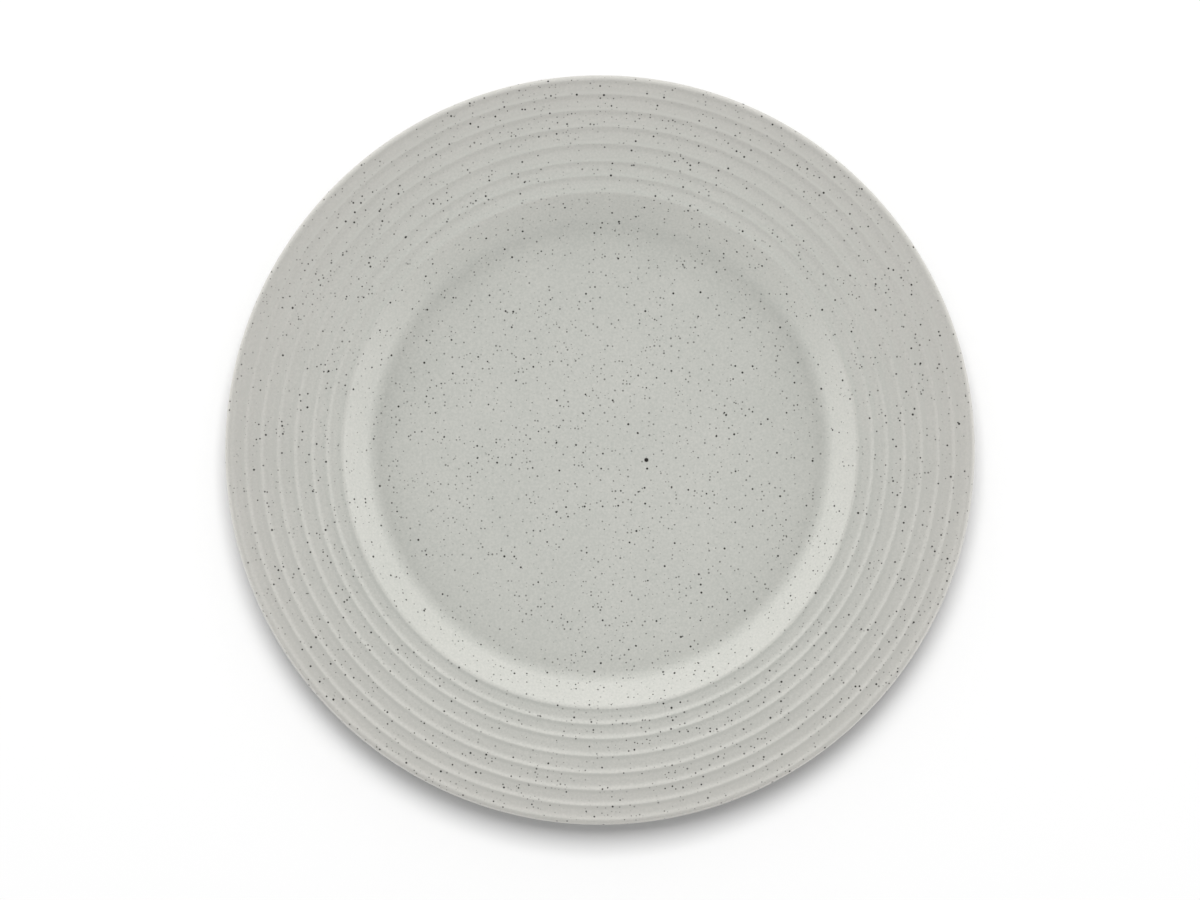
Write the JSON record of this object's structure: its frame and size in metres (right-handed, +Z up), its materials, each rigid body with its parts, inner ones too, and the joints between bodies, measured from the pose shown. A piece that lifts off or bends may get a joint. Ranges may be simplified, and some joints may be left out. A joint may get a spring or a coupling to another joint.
{
  "type": "dinner plate",
  "caption": "Round stoneware dinner plate with a flat well, a wide ring-turned rim, a foot ring and a pale speckled satin glaze.",
  "frame": {"origin": "centre of the foot ring, on the surface that the plate stands on", "axes": "+Z up along the plate's axis; +X to the right and +Y away from the viewer, which are alike on a round plate"},
  "size_m": [0.27, 0.27, 0.0193],
  "materials": {
    "bare_clay": "bare fired stoneware, matt, buff, slightly sandy",
    "speckled_glaze": "satin pale warm grey glaze with scattered dark specks",
    "base_speckled_glaze": "satin pale warm grey glaze with scattered dark specks"
  },
  "bodies": {
    "root": {"stoneware_body": "bare_clay", "glaze_coat": "speckled_glaze", "base_glaze": "base_speckled_glaze"}
  },
  "joints": []
}
